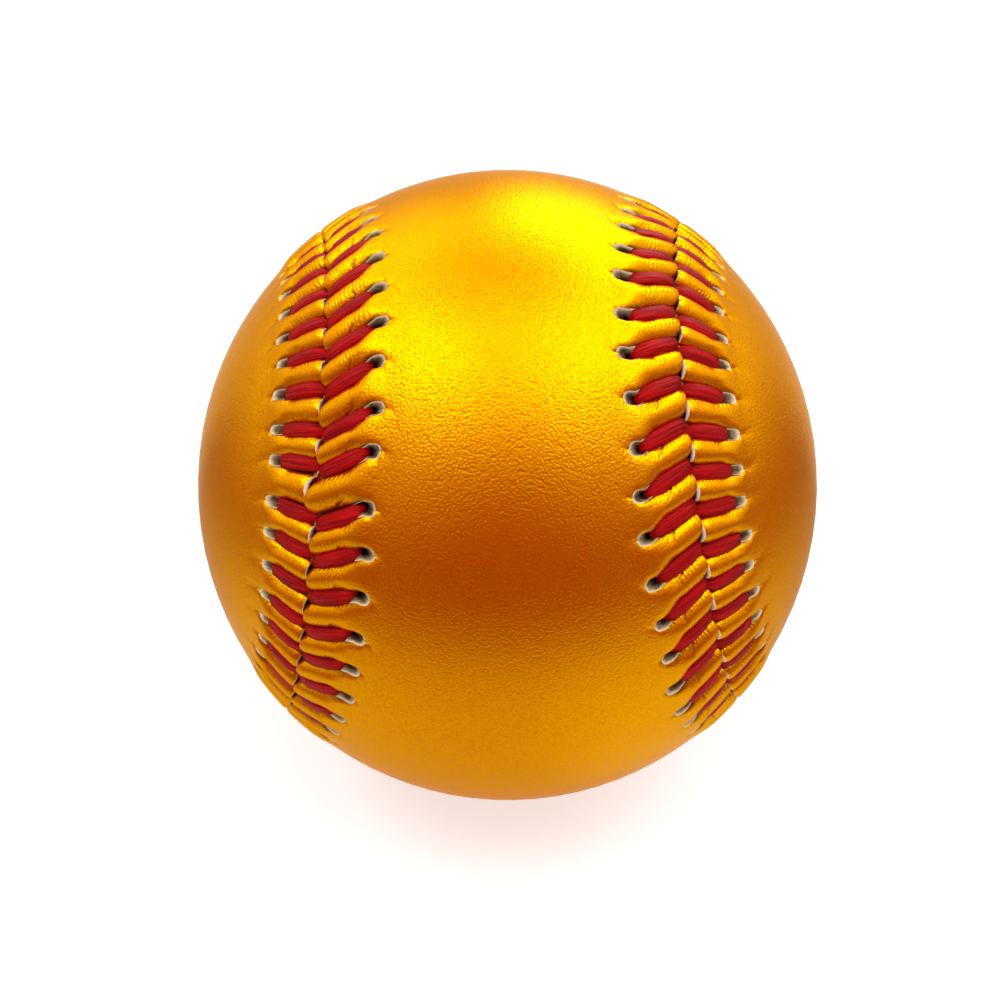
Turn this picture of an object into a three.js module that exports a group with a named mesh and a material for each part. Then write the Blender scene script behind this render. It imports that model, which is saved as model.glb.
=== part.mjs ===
// A stitched baseball. A cork and rubber centre carries four yarn windings, and
// two leather panels close round them, sewn edge to edge along one wavy seam.
// Millimetres, +Z up, origin at the centre of the ball.
import * as THREE from "three";

// Room left between neighbouring pieces
const CLEARANCE = 0.3;

// Centre: a cork ball in two rubber shells, each shell made as two halves
const CORK_RADIUS = 10.3;
const INNER_SHELL_WALL = 3.4;
const OUTER_SHELL_WALL = 3.1;
const GASKET_THICKNESS = 1.2;

// Yarn windings, by the depth of yarn each one adds
const FIRST_WINDING_DEPTH = 13.3;
const SECOND_WINDING_DEPTH = 1.3;
const THIRD_WINDING_DEPTH = 0.7;
const FINISH_WINDING_DEPTH = 0.5;
const YARN_TUNNEL_RADIUS = 1.2;

// Leather cover
const COVER_CLEARANCE = 0.55;
const COVER_THICKNESS = 1.25;
const EDGE_THICKNESS = 1.05;
const EDGE_WIDTH = 9;

// Seam line, as the share of each higher wave in its loop round the ball
const SEAM_THIRD_WAVE = 0.2917;
const SEAM_FIFTH_WAVE = -0.0559;
const SEAM_SIXTH_WAVE = -0.066;

// Thread, a flattened waxed cord, and the stitches it makes
const STITCH_PAIRS = 54;
const THREAD_WIDTH = 1.3;
const THREAD_THICKNESS = 0.45;
const THREAD_SLACK = 0.1;
const STITCH_REACH = 4.2;
const HOLE_TAIL = 1.75;
const FRONT_HOLE_LAG = 0.45;
const REAR_HOLE_LAG = 0.22;
const DIVE_STAGGER = 0.25;

// How the seam is turned, in degrees: the front panel's waist leans from upright towards -Y
const WAIST_TURN = 136.2;
const WAIST_ROLL = -0.8;
const WAIST_LEAN = 40.9;

// Facets of the round inner pieces, and of the wide part of each panel
const ROUND_SEGMENTS = 16;
const ROUND_STEPS = 8;
const PANEL_STEPS = 7;
const SEAM_SAMPLES = 2160;

// Radii that follow from the layers below them
const INNER_SHELL_INSIDE = CORK_RADIUS + CLEARANCE;
const INNER_SHELL_RADIUS = INNER_SHELL_INSIDE + INNER_SHELL_WALL;
const OUTER_SHELL_INSIDE = INNER_SHELL_RADIUS + CLEARANCE;
const OUTER_SHELL_RADIUS = OUTER_SHELL_INSIDE + OUTER_SHELL_WALL;
const FIRST_WINDING_RADIUS = OUTER_SHELL_RADIUS + CLEARANCE + FIRST_WINDING_DEPTH;
const SECOND_WINDING_RADIUS = FIRST_WINDING_RADIUS + CLEARANCE + SECOND_WINDING_DEPTH;
const THIRD_WINDING_RADIUS = SECOND_WINDING_RADIUS + CLEARANCE + THIRD_WINDING_DEPTH;
const FINISH_WINDING_RADIUS = THIRD_WINDING_RADIUS + CLEARANCE + FINISH_WINDING_DEPTH;
const COVER_INSIDE = FINISH_WINDING_RADIUS + COVER_CLEARANCE;
const COVER_OUTSIDE = COVER_INSIDE + COVER_THICKNESS;
const THREAD_UNDER = FINISH_WINDING_RADIUS + CLEARANCE + THREAD_SLACK + THREAD_THICKNESS / 2;
const EDGE_INSIDE = THREAD_UNDER + THREAD_THICKNESS / 2 + CLEARANCE;
const EDGE_OUTSIDE = EDGE_INSIDE + EDGE_THICKNESS;
const THREAD_OVER = EDGE_OUTSIDE + CLEARANCE + THREAD_SLACK + THREAD_THICKNESS / 2;

// Distances from the seam line, measured along the leather
const STITCH_COUNT = 2 * Math.round(STITCH_PAIRS);
const SEAM_EDGE = THREAD_THICKNESS / 2 + CLEARANCE;
const HOLE_NEAR = STITCH_REACH - THREAD_THICKNESS / 2 - CLEARANCE;
const HOLE_FAR = STITCH_REACH + HOLE_TAIL;
const HOLE_WIDTH = THREAD_WIDTH + 2 * CLEARANCE;

const group = new THREE.Group();
group.name = "baseball";

function addPiece(name, geometry, color, roughness) {
  const material = new THREE.MeshStandardMaterial({ color, roughness });
  const mesh = new THREE.Mesh(geometry, material);
  mesh.name = name;
  group.add(mesh);
}

// Builds a closed body from corner points and faces, with the faces turned outward
function closedBody(points, faces) {
  let volume = 0;
  for (const [a, b, c] of faces) {
    const across = new THREE.Vector3().crossVectors(points[b], points[c]);
    volume += points[a].dot(across);
  }
  const outward = volume > 0 ? faces : faces.map(([a, b, c]) => [a, c, b]);
  const geometry = new THREE.BufferGeometry();
  geometry.setFromPoints(points);
  geometry.setIndex(outward.flat());
  geometry.computeVertexNormals();
  return geometry;
}

// A quarter-turn step table keeps the facets of nested layers in line
function arcPoints(radius, firstAngle, lastAngle) {
  const step = Math.PI / ROUND_STEPS;
  const angles = [firstAngle];
  for (let k = 1; k < ROUND_STEPS; k += 1) {
    const angle = k * step;
    const inside = angle > firstAngle + step / 3 && angle < lastAngle - step / 3;
    if (inside) angles.push(angle);
  }
  angles.push(lastAngle);
  return angles.map((angle) => {
    const across = Math.abs(Math.sin(angle)) < 1e-9 ? 0 : radius * Math.sin(angle);
    return new THREE.Vector2(across, radius * Math.cos(angle));
  });
}

// Turns a profile round the Z axis; the profile runs from the axis back to it
function turned(profile) {
  const points = [];
  const rings = profile.map((point) => {
    const onAxis = point.x === 0;
    const ring = [];
    for (let k = 0; k < ROUND_SEGMENTS; k += 1) {
      if (onAxis && k > 0) {
        ring.push(ring[0]);
        continue;
      }
      const angle = (2 * Math.PI * k) / ROUND_SEGMENTS;
      ring.push(points.length);
      points.push(new THREE.Vector3(point.x * Math.cos(angle), point.x * Math.sin(angle), point.y));
    }
    return ring;
  });
  return closedBody(points, stripFaces(rings));
}

// Faces between neighbouring rings, leaving out those with no area
function stripFaces(rings) {
  const faces = [];
  for (let row = 0; row + 1 < rings.length; row += 1) {
    const count = rings[row].length;
    for (let k = 0; k < count; k += 1) {
      const next = (k + 1) % count;
      addQuad(faces, rings[row][k], rings[row][next], rings[row + 1][next], rings[row + 1][k]);
    }
  }
  return faces;
}

function addQuad(faces, a, b, c, d) {
  if (a !== b && b !== c && a !== c) faces.push([a, b, c]);
  if (a !== c && c !== d && a !== d) faces.push([a, c, d]);
}

// Cork ball
addPiece("cork_core", turned(arcPoints(CORK_RADIUS, 0, Math.PI)), 0xb98a5a, 0.9);

// Rubber shell halves: a bowl from its rim plane to its pole, above or below
function shellHalf(insideRadius, outsideRadius, rimHeight, upper) {
  const insideRim = Math.acos(rimHeight / insideRadius);
  const outsideRim = Math.acos(rimHeight / outsideRadius);
  const inside = arcPoints(insideRadius, 0, insideRim);
  const outside = arcPoints(outsideRadius, 0, outsideRim).reverse();
  const profile = [...inside, ...outside];
  const turnedOver = profile.map((point) => new THREE.Vector2(point.x, -point.y));
  return turned(upper ? profile : turnedOver);
}

const INNER_RIM = GASKET_THICKNESS / 2 + CLEARANCE;
const OUTER_RIM = CLEARANCE / 2;
const innerUpper = shellHalf(INNER_SHELL_INSIDE, INNER_SHELL_RADIUS, INNER_RIM, true);
const innerLower = shellHalf(INNER_SHELL_INSIDE, INNER_SHELL_RADIUS, INNER_RIM, false);
const outerUpper = shellHalf(OUTER_SHELL_INSIDE, OUTER_SHELL_RADIUS, OUTER_RIM, true);
const outerLower = shellHalf(OUTER_SHELL_INSIDE, OUTER_SHELL_RADIUS, OUTER_RIM, false);
addPiece("inner_shell_upper", innerUpper, 0x232323, 0.8);
addPiece("inner_shell_lower", innerLower, 0x232323, 0.8);
addPiece("outer_shell_upper", outerUpper, 0x9c2f28, 0.8);
addPiece("outer_shell_lower", outerLower, 0x9c2f28, 0.8);

// Gasket ring that seals the inner shell's joint
function gasketRing() {
  const profile = [
    new THREE.Vector2(INNER_SHELL_INSIDE, -GASKET_THICKNESS / 2),
    new THREE.Vector2(INNER_SHELL_RADIUS, -GASKET_THICKNESS / 2),
    new THREE.Vector2(INNER_SHELL_RADIUS, GASKET_THICKNESS / 2),
    new THREE.Vector2(INNER_SHELL_INSIDE, GASKET_THICKNESS / 2),
    new THREE.Vector2(INNER_SHELL_INSIDE, -GASKET_THICKNESS / 2),
  ];
  return turnedRing(profile);
}

// Turns a closed profile that stays clear of the axis
function turnedRing(profile) {
  const sides = profile.length - 1;
  const points = [];
  const rings = [];
  for (let side = 0; side < sides; side += 1) {
    const ring = [];
    for (let k = 0; k < ROUND_SEGMENTS; k += 1) {
      const angle = (2 * Math.PI * k) / ROUND_SEGMENTS;
      const { x, y } = profile[side];
      ring.push(points.length);
      points.push(new THREE.Vector3(x * Math.cos(angle), x * Math.sin(angle), y));
    }
    rings.push(ring);
  }
  rings.push(rings[0]);
  return closedBody(points, stripFaces(rings));
}
addPiece("shell_gasket", gasketRing(), 0xc23b30, 0.8);

// Yarn winding: a thick ball shell with one tunnel where the yarn end is drawn in
function winding(insideRadius, outsideRadius) {
  const insideMouth = Math.asin(YARN_TUNNEL_RADIUS / insideRadius);
  const outsideMouth = Math.asin(YARN_TUNNEL_RADIUS / outsideRadius);
  const inside = arcPoints(insideRadius, insideMouth, Math.PI).reverse();
  const outside = arcPoints(outsideRadius, outsideMouth, Math.PI);
  return turned([...inside, ...outside]);
}

const firstWinding = winding(OUTER_SHELL_RADIUS + CLEARANCE, FIRST_WINDING_RADIUS);
const secondWinding = winding(FIRST_WINDING_RADIUS + CLEARANCE, SECOND_WINDING_RADIUS);
const thirdWinding = winding(SECOND_WINDING_RADIUS + CLEARANCE, THIRD_WINDING_RADIUS);
const finishWinding = winding(THIRD_WINDING_RADIUS + CLEARANCE, FINISH_WINDING_RADIUS);
addPiece("first_winding", firstWinding, 0x8d8c88, 0.95);
addPiece("second_winding", secondWinding, 0xe6e1d4, 0.95);
addPiece("third_winding", thirdWinding, 0x8d8c88, 0.95);
addPiece("finish_winding", finishWinding, 0xf2eee2, 0.95);

// The seam line on a ball of unit radius
function seamDirection(t) {
  const first = 1 - SEAM_THIRD_WAVE;
  const rise = 2 * Math.sqrt(first * SEAM_THIRD_WAVE);
  const x = first * Math.cos(t) + SEAM_THIRD_WAVE * Math.cos(3 * t) + SEAM_FIFTH_WAVE * Math.cos(5 * t);
  const y = first * Math.sin(t) - SEAM_THIRD_WAVE * Math.sin(3 * t) + SEAM_FIFTH_WAVE * Math.sin(5 * t);
  const z = rise * Math.sin(2 * t) + SEAM_SIXTH_WAVE * Math.sin(6 * t);
  return new THREE.Vector3(x, y, z).normalize();
}

// Running length of the seam, so that stitches are evenly spaced along it
const seamLengths = [0];
for (let k = 1; k <= SEAM_SAMPLES; k += 1) {
  const before = seamDirection((2 * Math.PI * (k - 1)) / SEAM_SAMPLES);
  const here = seamDirection((2 * Math.PI * k) / SEAM_SAMPLES);
  seamLengths.push(seamLengths[k - 1] + before.angleTo(here) * EDGE_OUTSIDE);
}
const SEAM_LENGTH = seamLengths[SEAM_SAMPLES];
const PITCH = SEAM_LENGTH / STITCH_COUNT;

function seamParameter(along) {
  const wrapped = ((along % SEAM_LENGTH) + SEAM_LENGTH) % SEAM_LENGTH;
  let low = 0;
  let high = SEAM_SAMPLES;
  while (high - low > 1) {
    const middle = Math.floor((low + high) / 2);
    if (seamLengths[middle] <= wrapped) low = middle;
    else high = middle;
  }
  const share = (wrapped - seamLengths[low]) / (seamLengths[high] - seamLengths[low]);
  return (2 * Math.PI * (low + share)) / SEAM_SAMPLES;
}

// A point by its place along the seam, its distance to one side, and its radius
function seamPoint(along, aside, radius) {
  const t = seamParameter(along);
  const onSeam = seamDirection(t);
  const ahead = seamDirection(t + 1e-4).sub(seamDirection(t - 1e-4));
  const sideways = new THREE.Vector3().crossVectors(onSeam, ahead).normalize();
  const turn = aside / EDGE_OUTSIDE;
  const direction = onSeam.multiplyScalar(Math.cos(turn)).addScaledVector(sideways, Math.sin(turn));
  return direction.multiplyScalar(radius);
}

// Where the hole of each stitch lies along the seam, on the front (+1) or rear (-1) panel
function holePlace(index, side) {
  const lag = side > 0 ? FRONT_HOLE_LAG : REAR_HOLE_LAG;
  return (index - lag) * PITCH;
}

// Where each stitch goes down between the panel edges
function divePlace(index, side) {
  return (index + side * DIVE_STAGGER) * PITCH;
}

// Cover panel: rows of points follow the seam, then rungs cross the open middle
function coverPanel(side, lobeParameter) {
  const points = [];
  const surfaces = [];
  const lobeLength = (lobeParameter / (2 * Math.PI)) * SEAM_LENGTH;
  const lag = side > 0 ? FRONT_HOLE_LAG : REAR_HOLE_LAG;
  const lobeIndex = Math.round(lobeLength / PITCH + lag);
  const half = STITCH_COUNT / 2;
  const wrap = (index) => (index + STITCH_COUNT) % STITCH_COUNT;
  const layers = [
    { edge: EDGE_OUTSIDE, open: COVER_OUTSIDE },
    { edge: EDGE_INSIDE, open: COVER_INSIDE },
  ];
  for (const layer of layers) {
    const place = (along, aside, radius) => {
      points.push(seamPoint(along, side * aside, radius));
      return points.length - 1;
    };
    const rows = [SEAM_EDGE, HOLE_NEAR, HOLE_FAR].map((aside) => {
      const row = [];
      for (let k = 0; k < STITCH_COUNT; k += 1) {
        row.push(place(holePlace(k, side) - HOLE_WIDTH / 2, aside, layer.edge));
        row.push(place(holePlace(k, side) + HOLE_WIDTH / 2, aside, layer.edge));
      }
      return row;
    });
    const ring = [];
    for (let k = 0; k < STITCH_COUNT; k += 1) {
      ring.push(place(holePlace(k, side), EDGE_WIDTH, layer.open));
    }
    const faces = [];
    const columns = 2 * STITCH_COUNT;
    for (let k = 0; k < columns; k += 1) {
      const next = (k + 1) % columns;
      const overHole = k % 2 === 0;
      addQuad(faces, rows[0][k], rows[0][next], rows[1][next], rows[1][k]);
      if (!overHole) addQuad(faces, rows[1][k], rows[1][next], rows[2][next], rows[2][k]);
    }
    for (let k = 0; k < STITCH_COUNT; k += 1) {
      const next = wrap(k + 1);
      faces.push([rows[2][2 * k], rows[2][2 * k + 1], ring[k]]);
      addQuad(faces, rows[2][2 * k + 1], rows[2][2 * next], ring[next], ring[k]);
    }
    const rungs = [];
    for (let j = 0; j <= half; j += 1) {
      const from = ring[wrap(lobeIndex + j)];
      const to = ring[wrap(lobeIndex - j)];
      const rung = [from];
      for (let m = 1; m < PANEL_STEPS; m += 1) {
        if (from === to) rung.push(from);
        else rung.push(points.push(arcBetween(points[from], points[to], m / PANEL_STEPS)) - 1);
      }
      rung.push(to);
      rungs.push(rung);
    }
    for (let j = 0; j < half; j += 1) {
      for (let m = 0; m < PANEL_STEPS; m += 1) {
        addQuad(faces, rungs[j][m], rungs[j + 1][m], rungs[j + 1][m + 1], rungs[j][m + 1]);
      }
    }
    surfaces.push({ rows, faces });
  }
  const [outside, inside] = surfaces;
  const faces = [...outside.faces];
  for (const [a, b, c] of inside.faces) faces.push([a, c, b]);
  const columns = 2 * STITCH_COUNT;
  for (let k = 0; k < columns; k += 1) {
    const next = (k + 1) % columns;
    addQuad(faces, outside.rows[0][next], outside.rows[0][k], inside.rows[0][k], inside.rows[0][next]);
  }
  for (let k = 0; k < columns; k += 2) {
    const corners = [[1, k], [1, k + 1], [2, k + 1], [2, k]];
    for (let c = 0; c < 4; c += 1) {
      const [rowA, colA] = corners[c];
      const [rowB, colB] = corners[(c + 1) % 4];
      const upperA = outside.rows[rowA][colA];
      const upperB = outside.rows[rowB][colB];
      const lowerA = inside.rows[rowA][colA];
      const lowerB = inside.rows[rowB][colB];
      addQuad(faces, upperA, upperB, lowerB, lowerA);
    }
  }
  return closedBody(points, faces);
}

// A point part of the way along the great circle between two points of one radius
function arcBetween(from, to, share) {
  const angle = from.angleTo(to);
  const near = Math.sin((1 - share) * angle) / Math.sin(angle);
  const far = Math.sin(share * angle) / Math.sin(angle);
  return from.clone().multiplyScalar(near).addScaledVector(to, far);
}

addPiece("cover_panel_front", coverPanel(1, 0.75 * Math.PI), 0xc8962e, 0.35);
addPiece("cover_panel_rear", coverPanel(-1, 0.25 * Math.PI), 0xc8962e, 0.35);

// Thread: up through a hole, over the leather, down the seam, then under the other
// panel to its next hole. It takes front and rear stitches in turn and ends where it began.
function stitchThread(firstSide) {
  const points = [];
  const rings = [];
  const half = THREAD_THICKNESS / 2;
  for (let k = 0; k < STITCH_COUNT; k += 1) {
    const side = k % 2 === 0 ? firstSide : -firstSide;
    const hole = holePlace(k, side);
    const dive = divePlace(k, side);
    const bends = [
      { along: hole, aside: STITCH_REACH, radius: THREAD_UNDER, outAside: half, outRadius: -half },
      { along: hole, aside: STITCH_REACH, radius: THREAD_OVER, outAside: half, outRadius: half },
      { along: dive, aside: 0, radius: THREAD_OVER, outAside: -half, outRadius: half },
      { along: dive, aside: 0, radius: THREAD_UNDER, outAside: -half, outRadius: half },
    ];
    for (const bend of bends) {
      const outer = [side * (bend.aside + bend.outAside), bend.radius + bend.outRadius];
      const inner = [side * (bend.aside - bend.outAside), bend.radius - bend.outRadius];
      const [one, two] = side > 0 ? [outer, inner] : [inner, outer];
      const start = points.length;
      points.push(seamPoint(bend.along - THREAD_WIDTH / 2, one[0], one[1]));
      points.push(seamPoint(bend.along + THREAD_WIDTH / 2, one[0], one[1]));
      points.push(seamPoint(bend.along + THREAD_WIDTH / 2, two[0], two[1]));
      points.push(seamPoint(bend.along - THREAD_WIDTH / 2, two[0], two[1]));
      rings.push([start, start + 1, start + 2, start + 3]);
    }
  }
  rings.push(rings[0]);
  return closedBody(points, stripFaces(rings));
}

addPiece("stitch_thread_one", stitchThread(1), 0xa3121c, 0.55);
addPiece("stitch_thread_two", stitchThread(-1), 0xa3121c, 0.55);

const radians = Math.PI / 180;
group.rotation.set(WAIST_LEAN * radians, WAIST_ROLL * radians, WAIST_TURN * radians, "XYZ");

export default group;
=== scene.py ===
import math

import bmesh
import bpy
import numpy as np
from mathutils import Matrix, Vector


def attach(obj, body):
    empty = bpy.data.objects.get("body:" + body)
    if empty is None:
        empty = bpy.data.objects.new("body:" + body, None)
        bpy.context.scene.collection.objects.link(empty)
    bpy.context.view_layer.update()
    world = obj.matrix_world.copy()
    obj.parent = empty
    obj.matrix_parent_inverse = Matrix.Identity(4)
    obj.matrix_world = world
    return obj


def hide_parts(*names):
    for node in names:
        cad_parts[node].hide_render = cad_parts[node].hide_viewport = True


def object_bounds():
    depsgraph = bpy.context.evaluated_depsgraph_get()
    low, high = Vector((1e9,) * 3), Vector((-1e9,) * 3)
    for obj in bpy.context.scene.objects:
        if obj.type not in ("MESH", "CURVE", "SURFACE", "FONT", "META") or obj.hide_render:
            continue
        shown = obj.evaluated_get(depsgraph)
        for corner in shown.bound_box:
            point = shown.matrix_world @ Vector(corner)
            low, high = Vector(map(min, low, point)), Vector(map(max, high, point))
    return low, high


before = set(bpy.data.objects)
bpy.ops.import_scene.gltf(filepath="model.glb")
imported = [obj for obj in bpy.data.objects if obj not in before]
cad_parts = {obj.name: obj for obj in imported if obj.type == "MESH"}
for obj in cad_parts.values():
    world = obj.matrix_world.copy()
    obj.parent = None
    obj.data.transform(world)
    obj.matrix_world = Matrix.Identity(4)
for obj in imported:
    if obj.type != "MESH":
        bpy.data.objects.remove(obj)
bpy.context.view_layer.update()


# Cork core
# The heart of the ball is a small sphere of ground cork bound with a little
# rubber, moulded hot, so its surface is a mosaic of pale and dark granules.
MM = 0.001
CORK_GRANULE = 1.6


def linear(hex_colour):
    """An sRGB hex colour as linear red, green, blue and alpha."""
    channels = [int(hex_colour[k:k + 2], 16) / 255 for k in (1, 3, 5)]
    return [
        c / 12.92 if c <= 0.04045 else ((c + 0.055) / 1.055) ** 2.4 for c in channels] + [1.0]


def add_node(tree, kind, inputs=None, **settings):
    """Adds a node, sets its properties, and gives each input a value or a link."""
    node = tree.nodes.new(kind)
    for name, value in settings.items():
        setattr(node, name, value)
    for name, value in (inputs or {}).items():
        if isinstance(value, bpy.types.NodeSocket):
            tree.links.new(value, node.inputs[name])
        else:
            node.inputs[name].default_value = value
    return node


def new_finish(name):
    """An empty material with its surface shader and its object coordinates."""
    finish = bpy.data.materials.new(name)
    finish.use_nodes = True
    tree = finish.node_tree
    shader = tree.nodes["Principled BSDF"]
    place = tree.nodes.new("ShaderNodeTexCoord")
    return finish, tree, shader, place


def per_mm(size):
    """Pattern scale that gives features of this size in millimetres."""
    return 1 / (size * MM)


def dress(node_name, finish):
    """Puts a finish on a solid that is shown as it is."""
    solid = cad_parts[node_name]
    solid.data.materials.clear()
    solid.data.materials.append(finish)


# Ground cork: granules in pale tan to brown, dull and open
cork, tree, shader, place = new_finish("ground_cork")
granules = add_node(tree, "ShaderNodeTexVoronoi", {
    "Vector": place.outputs["Object"], "Scale": per_mm(CORK_GRANULE)})
cork_tone = add_node(tree, "ShaderNodeMix", {
    0: granules.outputs["Color"], 6: linear("#8a5a32"), 7: linear("#cfa06c")}, data_type="RGBA")
cork_bump = add_node(tree, "ShaderNodeBump", {
    "Height": granules.outputs["Distance"], "Strength": 0.6, "Distance": 0.2 * MM})
tree.links.new(cork_tone.outputs[2], shader.inputs["Base Color"])
tree.links.new(cork_bump.outputs["Normal"], shader.inputs["Normal"])
shader.inputs["Roughness"].default_value = 0.9
dress("cork_core", cork)


# Rubber shells and gasket
# Two moulded half shells of black rubber close round the cork with a red rubber
# washer in their joint, and two red half shells close round those.
RUBBER_BLOOM = 6
RUBBER_SKIN = 0.3


def rubber_finish(name, deep, pale):
    """Moulded rubber: dull, with a faint bloom and a fine sandy skin."""
    finish, tree, shader, place = new_finish(name)
    bloom = add_node(tree, "ShaderNodeTexNoise", {
        "Vector": place.outputs["Object"], "Scale": per_mm(RUBBER_BLOOM), "Detail": 4.0})
    tone = add_node(tree, "ShaderNodeMix", {
        0: bloom.outputs["Fac"], 6: linear(deep), 7: linear(pale)}, data_type="RGBA")
    skin = add_node(tree, "ShaderNodeTexNoise", {
        "Vector": place.outputs["Object"], "Scale": per_mm(RUBBER_SKIN), "Detail": 2.0})
    bump = add_node(tree, "ShaderNodeBump", {
        "Height": skin.outputs["Fac"], "Strength": 0.3, "Distance": 0.05 * MM})
    tree.links.new(tone.outputs[2], shader.inputs["Base Color"])
    tree.links.new(bump.outputs["Normal"], shader.inputs["Normal"])
    shader.inputs["Roughness"].default_value = 0.72
    shader.inputs["IOR"].default_value = 1.52
    return finish


black_rubber = rubber_finish("black_moulded_rubber", "#1b1b1c", "#2c2b2b")
red_rubber = rubber_finish("red_moulded_rubber", "#8f241f", "#a83a30")
dress("inner_shell_upper", black_rubber)
dress("inner_shell_lower", black_rubber)
dress("shell_gasket", red_rubber)
dress("outer_shell_upper", red_rubber)
dress("outer_shell_lower", red_rubber)


# Yarn windings
# Three layers of wool are wound on under tension, grey, white and grey, and a
# thin layer of white cotton yarn finishes the ball before the cover goes on.
WOOL_WIDTH = 1.4
COTTON_WIDTH = 0.7
YARN_FUZZ = 0.4
FUZZ_SHARE = 0.4
# A wave texture of scale 1 turns through this many radians in a metre
WAVE_TURN = 20


def yarn_finish(name, deep, pale, yarn_width):
    """Wound yarn: crossing bands of parallel strands, fuzzy and dull."""
    finish, tree, shader, place = new_finish(name)
    lay = add_node(tree, "ShaderNodeMapping", {
        "Vector": place.outputs["Object"], "Rotation": (0.5, 0.3, 0.9)})
    strands = add_node(tree, "ShaderNodeTexWave", {
        "Vector": lay.outputs["Vector"], "Scale": 2 * math.pi * per_mm(yarn_width) / WAVE_TURN,
        "Distortion": 3.0, "Detail": 2.0, "Detail Scale": 1.5})
    fuzz = add_node(tree, "ShaderNodeTexNoise", {
        "Vector": place.outputs["Object"], "Scale": per_mm(YARN_FUZZ), "Detail": 5.0})
    tone = add_node(tree, "ShaderNodeMix", {
        0: strands.outputs["Fac"], 6: linear(deep), 7: linear(pale)}, data_type="RGBA")
    height = add_node(tree, "ShaderNodeMath", {
        0: fuzz.outputs["Fac"], 1: FUZZ_SHARE, 2: strands.outputs["Fac"]},
        operation="MULTIPLY_ADD")
    bump = add_node(tree, "ShaderNodeBump", {
        "Height": height.outputs["Value"], "Strength": 0.7, "Distance": 0.3 * MM})
    tree.links.new(tone.outputs[2], shader.inputs["Base Color"])
    tree.links.new(bump.outputs["Normal"], shader.inputs["Normal"])
    shader.inputs["Roughness"].default_value = 0.95
    return finish


grey_wool = yarn_finish("grey_wool_yarn", "#6d6b67", "#9c9993", WOOL_WIDTH)
white_wool = yarn_finish("white_wool_yarn", "#c9c2b2", "#ece6d8", WOOL_WIDTH)
white_cotton = yarn_finish("white_cotton_yarn", "#d2cbba", "#f1ebdd", COTTON_WIDTH)
dress("first_winding", grey_wool)
dress("second_winding", white_wool)
dress("third_winding", grey_wool)
dress("finish_winding", white_cotton)


# Leather cover
# Two figure-eight panels of cowhide, faced with a gold pearl film, are stretched
# over the wound ball edge to edge. Each pair of stitches draws the edges together,
# so the leather between stitches swells into a row of soft fingers.
BALL_RADIUS = 36.3
SQUEEZE = 0.018
STITCHES = 108
FRONT, REAR = 1, -1
SEAM_THIRD_WAVE = 0.2917
SEAM_FIFTH_WAVE = -0.0559
SEAM_SIXTH_WAVE = -0.066
WAIST_LEAN = math.radians(40.9)
WAIST_ROLL = math.radians(-0.8)
WAIST_TURN = math.radians(136.2)
SEAM_TURN = (
    Matrix.Rotation(WAIST_LEAN, 3, "X")
    @ Matrix.Rotation(WAIST_ROLL, 3, "Y")
    @ Matrix.Rotation(WAIST_TURN, 3, "Z"))
SEAM_STEP = 1e-4


def seam_direction(t):
    """Unit direction of the seam line at parameter t."""
    first = 1 - SEAM_THIRD_WAVE
    rise = 2 * math.sqrt(first * SEAM_THIRD_WAVE)
    line = np.stack([
        first * np.cos(t) + SEAM_THIRD_WAVE * np.cos(3 * t) + SEAM_FIFTH_WAVE * np.cos(5 * t),
        first * np.sin(t) - SEAM_THIRD_WAVE * np.sin(3 * t) + SEAM_FIFTH_WAVE * np.sin(5 * t),
        rise * np.sin(2 * t) + SEAM_SIXTH_WAVE * np.sin(6 * t)], -1)
    return line / np.linalg.norm(line, axis=-1, keepdims=True)


SEAM_SAMPLES = np.linspace(0, 2 * math.pi, 5401)
seam_steps = np.linalg.norm(np.diff(seam_direction(SEAM_SAMPLES), axis=0), axis=1)
seam_run = np.concatenate([[0], np.cumsum(seam_steps)])
PITCH = BALL_RADIUS * seam_run[-1] / STITCHES


def ball_point(way, radius):
    """A point in metres on the ball, which is a little narrower than it is tall."""
    turned = way @ np.array(SEAM_TURN).T
    round_share = 1 - SQUEEZE * turned[..., :1] ** 2
    return turned * round_share * np.asarray(radius)[..., None] * MM


def leather_way(stitch, aside):
    """Direction from the ball's centre to a place in stitches along the seam and mm aside."""
    along = np.mod(stitch, STITCHES) / STITCHES * seam_run[-1]
    t = np.interp(along, seam_run, SEAM_SAMPLES)
    here = seam_direction(t)
    ahead = seam_direction(t + SEAM_STEP) - seam_direction(t - SEAM_STEP)
    sideways = np.cross(here, ahead)
    sideways /= np.linalg.norm(sideways, axis=-1, keepdims=True)
    turn = np.asarray(aside)[..., None] / BALL_RADIUS
    return np.cos(turn) * here + np.sin(turn) * sideways


def ease(value, start, end):
    """Smooth step from 0 at start to 1 at end."""
    share = np.clip((value - start) / (end - start), 0, 1)
    return share * share * (3 - 2 * share)


# Hand sewing is never quite even, and one pair of stitches on the left run was pulled wide.
# Places and lags are counted in stitches, and gaps in millimetres.
UNEVEN = 0.05
WIDE_PAIR = slice(16, 18)
WIDE_PAIR_SHIFT = -0.15, 0.13
FAT_FINGER_SWELL = 1.6
DIVE_LEAD = {FRONT: 0.1, REAR: -0.1}
LAG_WAVE = 54
GAPING_STITCH = 62
GAPING_REACH = 9, 5
sewing = np.random.default_rng(11)
numbers = np.arange(STITCHES)
lag_turn = 2 * math.pi * (numbers - 13) / LAG_WAVE
stitch_shift = sewing.uniform(-UNEVEN, UNEVEN, STITCHES)
stitch_shift[WIDE_PAIR] = WIDE_PAIR_SHIFT
hole_lag = {
    FRONT: 0.44 + 0.14 * np.sin(lag_turn) + sewing.uniform(-UNEVEN, UNEVEN, STITCHES),
    REAR: 0.22 + sewing.uniform(-UNEVEN, UNEVEN, STITCHES)}
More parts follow.
